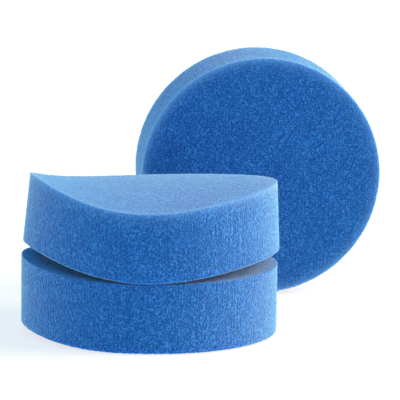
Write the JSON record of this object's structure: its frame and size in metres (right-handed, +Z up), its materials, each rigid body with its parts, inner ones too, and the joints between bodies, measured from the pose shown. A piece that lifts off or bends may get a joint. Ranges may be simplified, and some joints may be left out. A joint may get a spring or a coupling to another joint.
{
  "type": "sponge filter",
  "caption": "Round coarse filter foam pads: one lying flat, one curled on top of it, one standing on its rim behind the stack.",
  "frame": {"origin": "centre of the lower pad's underside", "axes": "+Z up, along the lower pad's axis; +Y towards the standing pad behind the stack; +X to the right"},
  "size_m": [0.2219, 0.237, 0.1526],
  "materials": {
    "lower_pad_foam": "matt open-cell foam",
    "upper_pad_foam": "matt open-cell foam",
    "standing_pad_foam": "matt open-cell foam"
  },
  "bodies": {
    "lower_pad": {"lower_pad": "lower_pad_foam"},
    "upper_pad": {"upper_pad": "upper_pad_foam"},
    "standing_pad": {"standing_pad": "standing_pad_foam"}
  },
  "joints": [
    {"name": "upper_pad_lift", "type": "slide", "parent": "lower_pad", "child": "upper_pad", "axis": [0, 0, 1], "range_m": [0, 0.12]},
    {"name": "standing_pad_lift", "type": "slide", "parent": "lower_pad", "child": "standing_pad", "axis": [0, 0, 1], "range_m": [0, 0.12]}
  ]
}
